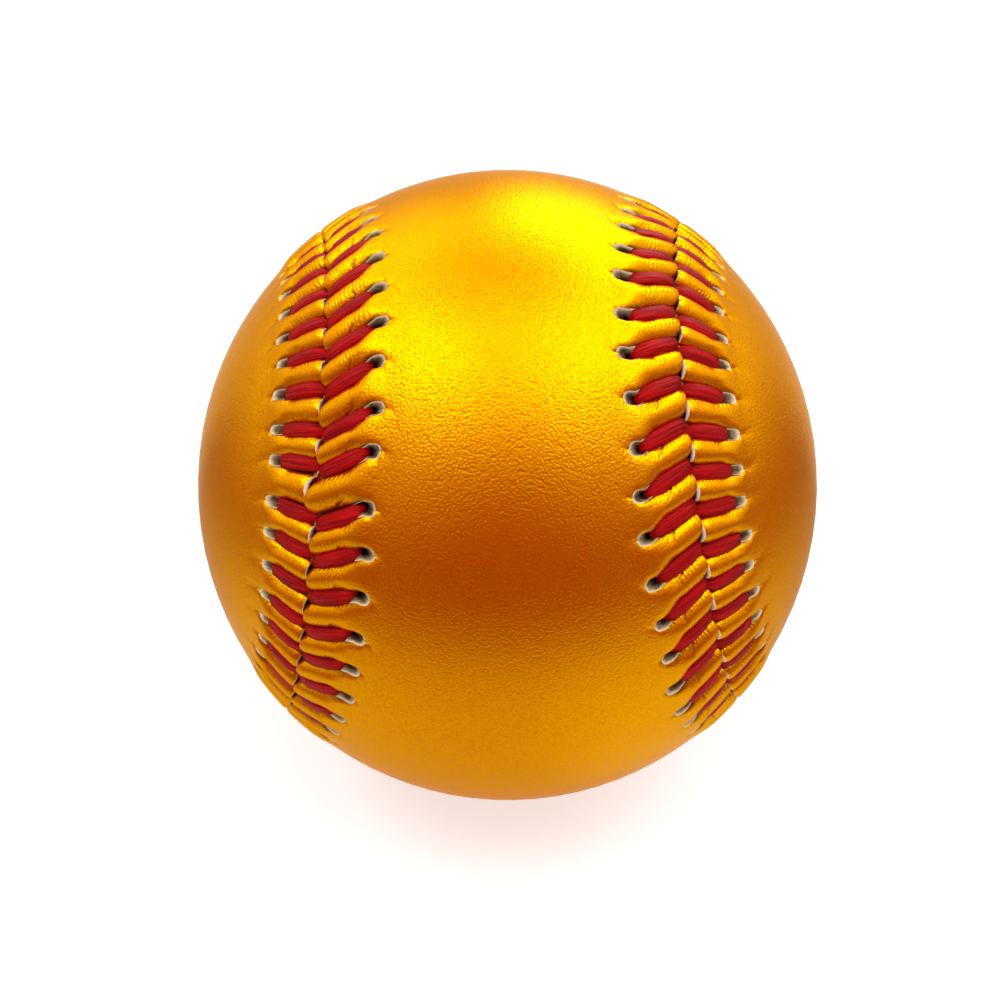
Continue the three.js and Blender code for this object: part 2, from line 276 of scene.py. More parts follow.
hole_stretch = {side: sewing.uniform(-UNEVEN, UNEVEN, STITCHES) for side in (FRONT, REAR)}
finger_swell = {side: sewing.uniform(0.75, 1.25, STITCHES) for side in (FRONT, REAR)}
finger_swell[FRONT][WIDE_PAIR.start] = FAT_FINGER_SWELL
# The seam gapes and shows its pale cut edge along the right run and at the wide pair
edge_pale = ease(np.abs(numbers - GAPING_STITCH), *GAPING_REACH)
edge_gap = 0.02 + sewing.uniform(0, 0.04, STITCHES) + 0.06 * edge_pale
edge_gap[WIDE_PAIR] = 0.14
edge_pale[WIDE_PAIR.start - 4:WIDE_PAIR.start] = 0.5
edge_pale[WIDE_PAIR] = 1


def between(values, stitch):
    """Value at a place along the seam, from one value per stitch."""
    low = np.floor(stitch).astype(int)
    share = stitch - low
    return values[low % STITCHES] * (1 - share) + values[(low + 1) % STITCHES] * share


# Mesh rows by distance from the seam in millimetres; the slits are cut between two of them
EDGE_ROWS = np.array([
    0.10, 0.24, 0.45, 0.72, 1.05, 1.4, 1.75, 2.1, 2.45, 2.8, 3.15, 3.5, 3.85, 4.15, 4.5, 4.85,
    5.2, 5.55, 5.85, 6.1, 6.27, 6.4, 6.62, 6.95, 7.4, 8.1, 9.2])
SLIT_FIRST_ROW, SLIT_LAST_ROW = 12, 21
MIDDLE_ROWS = 8
# Half of a finger's section, from the stitch line to its crown: place in stitches and share of
# its height, close to the seam and beside the slit
FINGER_ACROSS = np.array([0.0, 0.10, 0.19, 0.172, 0.208, 0.325, 0.50])
FINGER_RISE = np.array([0.0, 0.0, 0.02, 0.27, 0.50, 0.85, 1.0])
SLIT_ACROSS = np.array([0.0, 0.075, 0.15, 0.20, 0.28, 0.385, 0.50])
SLIT_RISE = np.array([0.0, 0.1, 0.35, 0.80, 0.96, 1.0, 1.0])
SLIT_STEP = 2
CROWN_STEP = len(FINGER_ACROSS) - 1
COLUMNS_PER_STITCH = 2 * CROWN_STEP
SLIT_CELLS = (0, 1, COLUMNS_PER_STITCH - 2, COLUMNS_PER_STITCH - 1)
LOBE_SHARE = {FRONT: 3 / 8, REAR: 1 / 8}
# Sizes of the sewn border in millimetres
SLIT_REACH = {FRONT: 6.4, REAR: 5.9}
SLIT_HALF_WIDTH = 0.56
SLIT_FLESH_HALF_WIDTH = 0.2
SLIT_ROUND_END = 0.56
SLIT_END_SHARE = 0.12
SLANT_REACH = 5.2
FINGER_TOP = 0.27
FINGER_TIP_LENGTH = 1.1
FINGER_TIP_WIDTH = 0.66
EDGE_DROP = 0.27
EDGE_DROP_LENGTH = 0.8
GROOVE_DEPTH = 0.72
GROOVE_END_DEPTH = 0.08
RIM_DEPTH = 0.16
FAT_FINGER = 16.5
FAT_FINGER_WIDTH = 0.38
FAT_FINGER_BULGE = 0.95
FAT_FINGER_REACH = 5
CUT_EDGE_DEPTH = 0.32
CUT_EDGE_FOOT = 0.01
CUT_EDGE_ROW = 0.2
CUT_GAP_REACH = 1.4
FLESH_RADIUS = 35.3
FLESH_STEP = 0.35
UNDERCUT = 1.4
UNDERCUT_LENGTH = 1.8
FREE_LEATHER = 9
HAIR = 1e-3
# Distances from the seam over which one form of the border turns into the next
FINGER_TO_SLIT = 2.4, 3.9
SLIT_TO_PANEL = 0.1, 1.4
BORDER_TO_PANEL = 6.6, 9.0
GROOVE_TO_RIM = 2.8, 5.8
RIM_TO_PANEL = 6.2, 7.4
PANEL_TO_CROWN = 7.0, 4.0
STRETCH_START, STRETCH_END = (3, 5), (7, 9)
SLIT_ROWS_START, SLIT_ROWS_END = (0, 4), 8
FLESH_TO_PANEL = 6.8, 9.0
UNDERCUT_START = 1.5, 5
# Painted shade on the cut edge at the seam, given as a depth for the raw finish, and how much of
# it a pale gaping edge lacks
EDGE_SHADE = 0.95
PALE_EDGE_UNSHADED = 0.8


def round_end(aside, length):
    """Quarter circle that rises from 0 at the seam to 1 at this distance from it."""
    return np.sqrt(1 - (1 - np.clip(aside / length, 0, 1)) ** 2)


def cover_place(side, column, aside, half_width):
    """Place along the seam, in stitches, of each mesh corner of a panel's sewn border."""
    stitch = column / COLUMNS_PER_STITCH
    step = column % COLUMNS_PER_STITCH
    sign = np.where(step > CROWN_STEP, -1, 1)
    step = np.minimum(step, COLUMNS_PER_STITCH - step)
    even = step / COLUMNS_PER_STITCH
    past_slit = aside - SLIT_REACH[side]
    end = np.clip(past_slit / SLIT_ROUND_END + 1, 0, 1)
    slit = half_width * np.maximum(np.sqrt(1 - end ** 2), SLIT_END_SHARE) / PITCH
    opening = np.interp(step, [0, SLIT_STEP, CROWN_STEP], [0, 1, 0])
    across_slit = SLIT_ACROSS[step] + (slit - SLIT_ACROSS[SLIT_STEP]) * opening
    tip = FINGER_TIP_WIDTH + (1 - FINGER_TIP_WIDTH) * round_end(aside, FINGER_TIP_LENGTH)
    across_finger = 0.5 - (0.5 - FINGER_ACROSS[step]) * tip
    across = across_finger + (across_slit - across_finger) * ease(aside, *FINGER_TO_SLIT)
    across = across + (even - across) * ease(past_slit, *SLIT_TO_PANEL)
    slant = np.clip(aside / SLANT_REACH, 0, 1)
    lean = DIVE_LEAD[side] * (1 - slant) - between(hole_lag[side], stitch) * slant
    follow = 1 - ease(aside, *BORDER_TO_PANEL)
    return stitch + follow * (sign * (across - even) + between(stitch_shift, stitch) + lean)


def cover_height(side, column, aside):
    """How far the leather stands above the ball, in millimetres."""
    step = column % COLUMNS_PER_STITCH
    step = np.minimum(step, COLUMNS_PER_STITCH - step)
    swell = finger_swell[side][(column // COLUMNS_PER_STITCH) % STITCHES]
    at_slit = ease(aside, *GROOVE_TO_RIM)
    dip = 1 - round_end(aside, EDGE_DROP_LENGTH)
    crown = FINGER_TOP * swell * ease(aside, *PANEL_TO_CROWN) - EDGE_DROP * dip
    floor = -GROOVE_DEPTH - GROOVE_END_DEPTH * dip
    floor = floor + (-RIM_DEPTH - floor) * at_slit
    floor = floor * (1 - ease(aside, *RIM_TO_PANEL))
    rise = FINGER_RISE[step] + (SLIT_RISE[step] - FINGER_RISE[step]) * at_slit
    return floor + (np.maximum(crown, floor) - floor) * rise


def cover_aside(side, column, aside):
    """Distance from the seam once the slits vary and one fat finger bulges over the seam."""
    stitch = column / COLUMNS_PER_STITCH
    stretch = between(hole_stretch[side], stitch)
    stretch = stretch * ease(aside, *STRETCH_START) * (1 - ease(aside, *STRETCH_END))
    bulge = FAT_FINGER_BULGE * np.exp(-((stitch - FAT_FINGER) / FAT_FINGER_WIDTH) ** 2)
    bulge = bulge * np.clip(1 - aside / FAT_FINGER_REACH, 0, 1)
    return aside * (1 + stretch) - side * bulge


def cut_gap(column, aside):
    """How far the cut edge stands back from the seam line, fading into the panel."""
    gap = between(edge_gap, column / COLUMNS_PER_STITCH) - EDGE_ROWS[0]
    return gap * np.clip(1 - (aside - EDGE_ROWS[0]) / CUT_GAP_REACH, 0, 1)


def panel_mesh(side):
    """One panel: a sheet of rows along the seam, closed along its middle, then thickened."""
    columns = STITCHES * COLUMNS_PER_STITCH
    rows = len(EDGE_ROWS) + MIDDLE_ROWS
    sheet = bmesh.new()
    bmesh.ops.create_grid(sheet, x_segments=columns, y_segments=rows - 1, size=0.5)
    flat = np.array([v.co for v in sheet.verts])
    column = np.rint((flat[:, 0] + 0.5) * columns).astype(int)
    row = np.rint((flat[:, 1] + 0.5) * (rows - 1)).astype(int)

    slits = []
    for face in sheet.faces:
        centre = face.calc_center_median()
        cell = int((centre.x + 0.5) * columns) % COLUMNS_PER_STITCH
        face_row = int((centre.y + 0.5) * (rows - 1))
        if SLIT_FIRST_ROW <= face_row < SLIT_LAST_ROW and cell in SLIT_CELLS:
            slits.append(face)

    # The grain side of the sewn border
    far = SLIT_REACH[side]
    lengthen = (far / EDGE_ROWS[SLIT_LAST_ROW] - 1) * ease(EDGE_ROWS, *SLIT_ROWS_START)
    edge_rows = np.where(EDGE_ROWS < SLIT_ROWS_END, EDGE_ROWS * (1 + lengthen), EDGE_ROWS)
    aside = edge_rows[np.minimum(row, len(edge_rows) - 1)]
    place = cover_place(side, column, aside, SLIT_HALF_WIDTH)
    height = cover_height(side, column, aside)
    far_aside = cover_aside(side, column, aside) + cut_gap(column, aside)
    points = ball_point(leather_way(place, side * far_aside), BALL_RADIUS + height)

    # The middle of the panel, where each row ends at its partner across the lobe
    border_stitch = np.arange(columns) / COLUMNS_PER_STITCH
    rim = leather_way(border_stitch, np.full(columns, side * EDGE_ROWS[-1]))
    partner = (int(2 * LOBE_SHARE[side] * columns) - np.arange(columns)) % columns
    turn = np.arccos(np.clip(np.sum(rim * rim[partner], axis=1), -1, 1))
    middle = row >= len(EDGE_ROWS)
    own = column[middle] % columns
    share = (0.5 * (row[middle] - len(EDGE_ROWS) + 1) / MIDDLE_ROWS)[:, None]
    angle = np.maximum(turn[own], 1e-6)[:, None]
    way = np.sin((1 - share) * angle) * rim[own] + np.sin(share * angle) * rim[partner[own]]
    points[middle] = ball_point(way / np.sin(angle), np.full(len(way), BALL_RADIUS))

    # What the finishes read: distance from the seam, place across a finger, and depth of a cut,
    # which the raw finish darkens with painted shade.
    # A rear finger has no bite crease, which shows only where the place is above zero.
    aside_layer = sheet.verts.layers.float.new("aside")
    finger_layer = sheet.verts.layers.float.new("finger")
    column_layer = sheet.verts.layers.int.new("column")
    depth_layer = sheet.verts.layers.float.new("depth")
    stitch = column / COLUMNS_PER_STITCH
    finger = stitch - np.floor(stitch) - 0.5
    if side == REAR:
        finger = -np.abs(finger)
    for vert, point, distance, across, index in zip(sheet.verts, points, aside, finger, column):
        vert.co = point
        vert[aside_layer] = distance
        vert[finger_layer] = across
        vert[column_layer] = index
    bmesh.ops.delete(sheet, geom=slits, context="FACES")
    bmesh.ops.remove_doubles(sheet, verts=sheet.verts, dist=HAIR * MM)

    # The flesh side: slits narrow towards it, and the cut edges slope in under the seam
    made = bmesh.ops.solidify(sheet, geom=sheet.faces[:], thickness=HAIR * MM)
    inner = [v for v in made["geom"] if isinstance(v, bmesh.types.BMVert)]
    inner_column = np.array([v[column_layer] for v in inner])
    inner_aside = np.array([v[aside_layer] for v in inner])
    cut_edge = inner_aside < CUT_EDGE_ROW
    inner_radius = FLESH_RADIUS - FLESH_STEP * ease(inner_aside, *FLESH_TO_PANEL)
    cut_radius = BALL_RADIUS + cover_height(side, inner_column, inner_aside) - CUT_EDGE_DEPTH
    inner_radius = np.where(cut_edge, np.maximum(cut_radius, inner_radius), inner_radius)
    inner_place = cover_place(side, inner_column, inner_aside, SLIT_FLESH_HALF_WIDTH)
    undercut = UNDERCUT * np.exp(-np.abs(inner_aside - far) / UNDERCUT_LENGTH)
    under_aside = inner_aside - undercut * ease(inner_aside, *UNDERCUT_START)
    under_aside = np.where(cut_edge, CUT_EDGE_FOOT, under_aside)
    under_aside = cover_aside(side, inner_column, under_aside)
    under = ball_point(leather_way(inner_place, side * under_aside), inner_radius)
    # Painted shade: flesh-side corners get full depth, and the cut edge at the seam nearly as much
    # unless the seam gapes there
    pale = between(edge_pale, inner_column / COLUMNS_PER_STITCH)
    depth = np.where(cut_edge, EDGE_SHADE - PALE_EDGE_UNSHADED * pale, 1)
    for vert, radius, point, distance, shade_depth in zip(inner, inner_radius, under, inner_aside, depth):
        vert.co = Vector(point) if distance < FREE_LEATHER else vert.co * (radius / BALL_RADIUS)
        vert[depth_layer] = shade_depth
    inner_set = set(inner)
    for face in sheet.faces:
        face.smooth = True
        face.material_index = int(any(v in inner_set for v in face.verts))
    for edge in sheet.edges:
        edge.smooth = len({f.material_index for f in edge.link_faces}) == 1
    bmesh.ops.recalc_face_normals(sheet, faces=sheet.faces)
    return sheet


def new_object(name, shape, finishes):
    """Turns a finished bmesh into an object in the scene."""
    mesh = bpy.data.meshes.new(name)
    shape.to_mesh(mesh)
    shape.free()
    for finish in finishes:
        mesh.materials.append(finish)
    made = bpy.data.objects.new(name, mesh)
    bpy.context.scene.collection.objects.link(made)
    return made


def add_piece(name, shape, finishes, replaced):
    """Adds a piece that rides on the ball and stands for one of its solids."""
    piece = new_object(name, shape, finishes)
    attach(piece, "root")
    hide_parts(replaced)


# Gold-faced cowhide: an orange ground under pearl flakes, which mirror the light in yellow,
# over a pebbled grain a quarter of a millimetre across; the fingers are wrinkled
PEBBLE = 0.23
PEBBLE_ROUNDNESS = 1.6
PORE = 0.22
PORE_SHARE = -0.3
WRINKLE = 0.38
WRINKLE_WAVER, WRINKLE_WAVER_SIZE = 0.9, 1.2
PATCH = 1.6
MOTTLE = 9
gold_leather, tree, shader, place = new_finish("gold_pearl_cowhide")
aside = add_node(tree, "ShaderNodeAttribute", attribute_name="aside")
finger = add_node(tree, "ShaderNodeAttribute", attribute_name="finger")
wander = add_node(tree, "ShaderNodeTexNoise", {
    "Vector": place.outputs["Object"], "Scale": per_mm(WRINKLE_WAVER_SIZE), "Detail": 2.0})
pebbles = add_node(tree, "ShaderNodeTexVoronoi", {
    "Vector": place.outputs["Object"], "Scale": per_mm(PEBBLE), "Randomness": 0.95})
domes = add_node(tree, "ShaderNodeMath", {
    0: pebbles.outputs["Distance"], 1: PEBBLE_ROUNDNESS}, operation="POWER")
pores = add_node(tree, "ShaderNodeTexNoise", {
    "Vector": place.outputs["Object"], "Scale": per_mm(PORE), "Detail": 2.0, "Roughness": 0.5})
skin = add_node(tree, "ShaderNodeMath", {
    0: pores.outputs["Fac"], 1: PORE_SHARE, 2: domes.outputs["Value"]},
    operation="MULTIPLY_ADD")
# Stretching the leather round the fingers flattens its grain there
stretched = add_node(tree, "ShaderNodeMapRange", {
    "Value": aside.outputs["Fac"], "From Min": 2.5, "From Max": 7.5,
    "To Min": 0.5, "To Max": 1.0})
grain = add_node(tree, "ShaderNodeMath", {
    0: skin.outputs["Value"], 1: stretched.outputs["Result"]}, operation="MULTIPLY")
# Wrinkles run across each finger, in patches, deepest at its flanks
waver = add_node(tree, "ShaderNodeMath", {
    0: wander.outputs["Fac"], 1: WRINKLE_WAVER, 2: aside.outputs["Fac"]},
    operation="MULTIPLY_ADD")
wrinkle_turn = add_node(tree, "ShaderNodeMath", {
    0: waver.outputs["Value"], 1: 2 * math.pi / WRINKLE}, operation="MULTIPLY")
wrinkles = add_node(tree, "ShaderNodeMath", {
    0: wrinkle_turn.outputs["Value"]}, operation="SINE")
patchy = add_node(tree, "ShaderNodeTexNoise", {
    "Vector": place.outputs["Object"], "Scale": per_mm(PATCH), "Detail": 2.0})
patchy_share = add_node(tree, "ShaderNodeMapRange", {
    "Value": patchy.outputs["Fac"], "From Min": 0.38, "From Max": 0.68,
    "To Min": 0.1, "To Max": 1.5})
flank = add_node(tree, "ShaderNodeMath", {0: finger.outputs["Fac"]}, operation="ABSOLUTE")
flank_share = add_node(tree, "ShaderNodeMapRange", {
    "Value": flank.outputs["Value"], "From Min": 0.02, "From Max": 0.26,
    "To Min": 0.3, "To Max": 1.0})
sewn_share = add_node(tree, "ShaderNodeMapRange", {
    "Value": aside.outputs["Fac"], "From Min": 5.4, "From Max": 3.2,
    "To Min": 0.0, "To Max": 0.75})
flank_pucker = add_node(tree, "ShaderNodeMath", {
    0: flank_share.outputs["Result"], 1: sewn_share.outputs["Result"]}, operation="MULTIPLY")
pucker = add_node(tree, "ShaderNodeMath", {
    0: flank_pucker.outputs["Value"], 1: patchy_share.outputs["Result"]}, operation="MULTIPLY")
# Where the thread bites, a short crease runs up from the edge of a front finger
CREASE_SLOPE = 2.6
CREASE_WANDER = 1.6
CREASE_PLACE = 4.2
CREASE_HALF_WIDTH = 0.26
CREASE_DEPTH = 4.5
crease_line = add_node(tree, "ShaderNodeMath", {
    0: finger.outputs["Fac"], 1: CREASE_SLOPE, 2: aside.outputs["Fac"]},
    operation="MULTIPLY_ADD")
crease_wander = add_node(tree, "ShaderNodeMath", {
    0: patchy.outputs["Fac"], 1: CREASE_WANDER, 2: crease_line.outputs["Value"]},
    operation="MULTIPLY_ADD")
crease_shift = add_node(tree, "ShaderNodeMath", {
    0: crease_wander.outputs["Value"], 1: CREASE_PLACE}, operation="SUBTRACT")
crease_off = add_node(tree, "ShaderNodeMath", {
    0: crease_shift.outputs["Value"]}, operation="ABSOLUTE")
crease_fold = add_node(tree, "ShaderNodeMapRange", {
    "Value": crease_off.outputs["Value"], "From Min": 0.0, "From Max": CREASE_HALF_WIDTH,
    "To Min": 1.0, "To Max": 0.0})
crease_from = add_node(tree, "ShaderNodeMapRange", {
    "Value": finger.outputs["Fac"], "From Min": 0.02, "From Max": 0.2})
crease = add_node(tree, "ShaderNodeMath", {
    0: crease_fold.outputs["Result"], 1: crease_from.outputs["Result"]}, operation="MULTIPLY")
creased_grain = add_node(tree, "ShaderNodeMath", {
    0: crease.outputs["Value"], 1: CREASE_DEPTH, 2: grain.outputs["Value"]},
    operation="MULTIPLY_ADD")
leather_height = add_node(tree, "ShaderNodeMath", {
    0: wrinkles.outputs["Value"], 1: pucker.outputs["Value"],
    2: creased_grain.outputs["Value"]}, operation="MULTIPLY_ADD")
leather_bump = add_node(tree, "ShaderNodeBump", {
    "Height": leather_height.outputs["Value"], "Strength": 0.5, "Distance": -0.06 * MM})
mottle = add_node(tree, "ShaderNodeTexNoise", {
    "Vector": place.outputs["Object"], "Scale": per_mm(MOTTLE), "Detail": 5.0})
ground = add_node(tree, "ShaderNodeMix", {
    0: mottle.outputs["Fac"], 6: linear("#b82402"), 7: linear("#c42c03")}, data_type="RGBA")
# Painted shade: the ground darkens to brown low down where a finger meets the thread and along
# each bite crease
groove_low = add_node(tree, "ShaderNodeMapRange", {
    "Value": flank.outputs["Value"], "From Min": 0.21, "From Max": 0.31})
groove_end = add_node(tree, "ShaderNodeMapRange", {
    "Value": aside.outputs["Fac"], "From Min": 5.8, "From Max": 4.8})
groove_shade = add_node(tree, "ShaderNodeMath", {
    0: groove_low.outputs["Result"], 1: groove_end.outputs["Result"]}, operation="MULTIPLY")
# Painted shade mask: the bite creases and the low flanks beside the thread
crease_groove_shade = add_node(tree, "ShaderNodeMath", {
    0: crease.outputs["Value"], 1: groove_shade.outputs["Value"]}, operation="MAXIMUM")
shaded_ground = add_node(tree, "ShaderNodeMix", {
    0: crease_groove_shade.outputs["Value"], 6: ground.outputs[2], 7: linear("#561400")}, data_type="RGBA")
# The film shines most on top of each pebble, less in the pits, and less again in the painted shade
# of the creases and grooves.
# Its IOR is one at which a level of 0.5 mirrors half of the light, as pearl flakes can.
SHADED_SHINE = 0.125
PEARL_IOR = 5.828
flake_shine = add_node(tree, "ShaderNodeMapRange", {
    "Value": pebbles.outputs["Distance"], "From Min": 0.15, "From Max": 0.75,
    "To Min": 0.48, "To Max": 0.34})
film_shine = add_node(tree, "ShaderNodeMix", {
    0: crease_groove_shade.outputs["Value"], 2: flake_shine.outputs["Result"], 3: SHADED_SHINE})
tree.links.new(shaded_ground.outputs[2], shader.inputs["Base Color"])
tree.links.new(leather_bump.outputs["Normal"], shader.inputs["Normal"])
tree.links.new(film_shine.outputs[0], shader.inputs["Specular IOR Level"])
shader.inputs["Roughness"].default_value = 0.28
shader.inputs["IOR"].default_value = PEARL_IOR
shader.inputs["Specular Tint"].default_value = linear("#ffcb00")
shader.inputs["Sheen Weight"].default_value = 0.03
shader.inputs["Sheen Roughness"].default_value = 0.35

# Raw cut leather: a cream lip along the seam and round the slits, then patchy brown fibres, with
# painted shade that darkens it further into the slits and along the narrow seam
FIBRE = 0.3
FIBRE_SHARE = 0.25
DIRT_PATCH = 0.9
raw_leather, tree, shader, place = new_finish("raw_cut_cowhide")
depth = add_node(tree, "ShaderNodeAttribute", attribute_name="depth")
fibres = add_node(tree, "ShaderNodeTexNoise", {
    "Vector": place.outputs["Object"], "Scale": per_mm(FIBRE), "Detail": 4.0})
cut_depth = add_node(tree, "ShaderNodeMath", {
    0: fibres.outputs["Fac"], 1: FIBRE_SHARE, 2: depth.outputs["Fac"]},
    operation="MULTIPLY_ADD")
lip_share = add_node(tree, "ShaderNodeMapRange", {
    "Value": cut_depth.outputs["Value"], "From Min": 0.18, "From Max": 0.42})
# Painted shade: deep in a cut the leather darkens to near-black brown
cut_shade_share = add_node(tree, "ShaderNodeMapRange", {
    "Value": cut_depth.outputs["Value"], "From Min": 0.45, "From Max": 1.0})
dirt = add_node(tree, "ShaderNodeTexNoise", {
    "Vector": place.outputs["Object"], "Scale": per_mm(DIRT_PATCH), "Detail": 3.0})
dirt_share = add_node(tree, "ShaderNodeMapRange", {
    "Value": dirt.outputs["Fac"], "From Min": 0.36, "From Max": 0.64})
wall_tone = add_node(tree, "ShaderNodeMix", {
    0: dirt_share.outputs["Result"], 6: linear("#6a4e30"), 7: linear("#b89a74")},
    data_type="RGBA")
aside = add_node(tree, "ShaderNodeAttribute", attribute_name="aside")
slit_share = add_node(tree, "ShaderNodeMapRange", {
    "Value": aside.outputs["Fac"], "From Min": 1.0, "From Max": 2.0})
lip_tone = add_node(tree, "ShaderNodeMix", {
    0: slit_share.outputs["Result"], 6: linear("#f8ead0"), 7: linear("#ead8b8")},
    data_type="RGBA")
fibre_tone = add_node(tree, "ShaderNodeMix", {
    0: lip_share.outputs["Result"], 6: lip_tone.outputs[2], 7: wall_tone.outputs[2]},
    data_type="RGBA")
raw_tone = add_node(tree, "ShaderNodeMix", {
    0: cut_shade_share.outputs["Result"], 6: fibre_tone.outputs[2], 7: linear("#2a2016")},
    data_type="RGBA")
raw_bump = add_node(tree, "ShaderNodeBump", {
    "Height": fibres.outputs["Fac"], "Strength": 0.5, "Distance": 0.1 * MM})
tree.links.new(raw_tone.outputs[2], shader.inputs["Base Color"])
tree.links.new(raw_bump.outputs["Normal"], shader.inputs["Normal"])
shader.inputs["Roughness"].default_value = 0.9
shader.inputs["Specular IOR Level"].default_value = 0.1

for side, name in ((FRONT, "cover_panel_front"), (REAR, "cover_panel_rear")):
    add_piece(name.replace("cover", "leather"), panel_mesh(side), [gold_leather, raw_leather],
              name)


# Stitch threads
# Two lengths of waxed red cotton, each on its own needle, come up through a slit,
# lie flat over the leather, go down between the edges and under the far panel.
STITCH_PATH = np.array([
    # distance aside, height on the ball, half width, half thickness
    [4.70, -1.30, 0.52, 0.24],
    [4.66, -0.86, 0.66, 0.30],
    [4.35, -0.46, 0.72, 0.34],
    [2.90, -0.28, 0.72, 0.35],
    [1.40, -0.30, 0.72, 0.35],
    [0.45, -0.52, 0.62, 0.34],
    [0.00, -1.05, 0.45, 0.30],
    [-2.00, -1.36, 0.55, 0.20]])
THREAD_SIDES = 8
THREAD_ROUNDNESS = 0.75
UNDER_LEAD, UNDER_LAG = 0.55, 0.45
WIDTH_STEP = 0.05


def thread_mesh(first_side):
    """One thread as a tube, ring by ring along its path, joined end to end."""
    steps = len(STITCH_PATH)
    rings = STITCHES * steps
    tube = bmesh.new()
    bmesh.ops.create_grid(tube, x_segments=rings, y_segments=THREAD_SIDES, size=0.5)
    flat = np.array([v.co for v in tube.verts])
    ring = np.rint((flat[:, 0] + 0.5) * rings).astype(int)
    turn = (flat[:, 1] + 0.5) * 2 * math.pi

    # The path: over one panel and under the other, with the sides changing at each stitch
    number = np.repeat(numbers, steps)
    side = np.where(number % 2 == 0, first_side, -first_side)
    front = side == FRONT
    aside, height, half_width, half_thick = np.tile(STITCH_PATH, (STITCHES, 1)).T
    slant = np.clip(aside / SLANT_REACH, 0, 1)
    lag = np.where(front, hole_lag[FRONT][number], hole_lag[REAR][number])
    lead = np.where(front, DIVE_LEAD[FRONT], DIVE_LEAD[REAR])
    after = (number + 1) % STITCHES
    next_lag = np.where(front, hole_lag[REAR][after], hole_lag[FRONT][after])
    over = lead * (1 - slant) - lag * slant
    under = UNDER_LEAD * lead + UNDER_LAG * (1 - next_lag)
    place = number + stitch_shift[number] + np.where(aside < 0, under, over)
    radius = BALL_RADIUS + height
    centre = ball_point(leather_way(place, side * aside), radius)

    # The flat section: its width lies along the seam, its thickness stands off the ball
    forward = np.roll(centre, -1, axis=0) - np.roll(centre, 1, axis=0)
    forward /= np.linalg.norm(forward, axis=1, keepdims=True)
    along = ball_point(leather_way(place + WIDTH_STEP, side * aside), radius) - centre
    width_way = along - forward * np.sum(along * forward, axis=1, keepdims=True)
    width_way /= np.linalg.norm(width_way, axis=1, keepdims=True)
    thick_way = np.cross(forward, width_way)
    own = ring % rings
    cosine, sine = np.cos(turn), np.sin(turn)
    wide = np.sign(cosine) * np.abs(cosine) ** THREAD_ROUNDNESS * half_width[own] * MM
    thick = np.sign(sine) * np.abs(sine) ** THREAD_ROUNDNESS * half_thick[own] * MM
    points = centre[own] + wide[:, None] * width_way[own] + thick[:, None] * thick_way[own]
    strand_layer = tube.loops.layers.uv.new("strands")
    for face in tube.faces:
        face.smooth = True
        for loop in face.loops:
            loop[strand_layer].uv = ((loop.vert.co.x + 0.5) * rings, loop.vert.co.y + 0.5)
    for vert, point in zip(tube.verts, points):
        vert.co = point
    bmesh.ops.remove_doubles(tube, verts=tube.verts, dist=HAIR * MM)
    bmesh.ops.recalc_face_normals(tube, faces=tube.faces)
    return tube


# Waxed cotton: strands laid side by side with a slow twist, and a soft wax shine
STRANDS_ROUND = 16.0
STRAND_TURNS = 0.35
waxed_cotton, tree, shader, place = new_finish("waxed_red_cotton")
strand_lay = add_node(tree, "ShaderNodeMapping", {
    "Vector": place.outputs["UV"], "Scale": (STRAND_TURNS, STRANDS_ROUND, 1.0)})
strands = add_node(tree, "ShaderNodeTexNoise", {
    "Vector": strand_lay.outputs["Vector"], "Scale": 1.0, "Detail": 3.0, "Distortion": 0.4})
thread_tone = add_node(tree, "ShaderNodeMapRange", {
    "Value": strands.outputs["Fac"], "From Min": 0.3, "From Max": 0.7})
thread_colour = add_node(tree, "ShaderNodeMix", {
    0: thread_tone.outputs["Result"], 6: linear("#760003"), 7: linear("#c80306")},
    data_type="RGBA")
thread_bump = add_node(tree, "ShaderNodeBump", {
    "Height": strands.outputs["Fac"], "Strength": 0.8, "Distance": 0.25 * MM})
tree.links.new(thread_colour.outputs[2], shader.inputs["Base Color"])
tree.links.new(thread_bump.outputs["Normal"], shader.inputs["Normal"])
shader.inputs["Roughness"].default_value = 0.5
shader.inputs["Specular IOR Level"].default_value = 0.1

for side, name in ((FRONT, "stitch_thread_one"), (REAR, "stitch_thread_two")):
    add_piece(name.replace("stitch", "waxed"), thread_mesh(side), [waxed_cotton],
              name)


# Studio
# The ball lies on a pale sweep under five soft boxes and a frontal fill. A graded card
# stands round its front, and the gold film mirrors the card's dark middle as brown.
FLOOR_HALF = 4.0
visual_low, visual_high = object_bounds()


def shown_rays(tree):
    """1 for rays that reach the eye straight, mirrored or through glass, and 0 for others."""
    seen = add_node(tree, "ShaderNodeLightPath")
    straight = add_node(tree, "ShaderNodeMath", {
        0: seen.outputs["Is Camera Ray"], 1: seen.outputs["Is Glossy Ray"]}, operation="ADD")
    shown = add_node(tree, "ShaderNodeMath", {
        0: straight.outputs["Value"], 1: seen.outputs["Is Transmission Ray"]},
        operation="ADD", use_clamp=True)
    return shown.outputs["Value"]


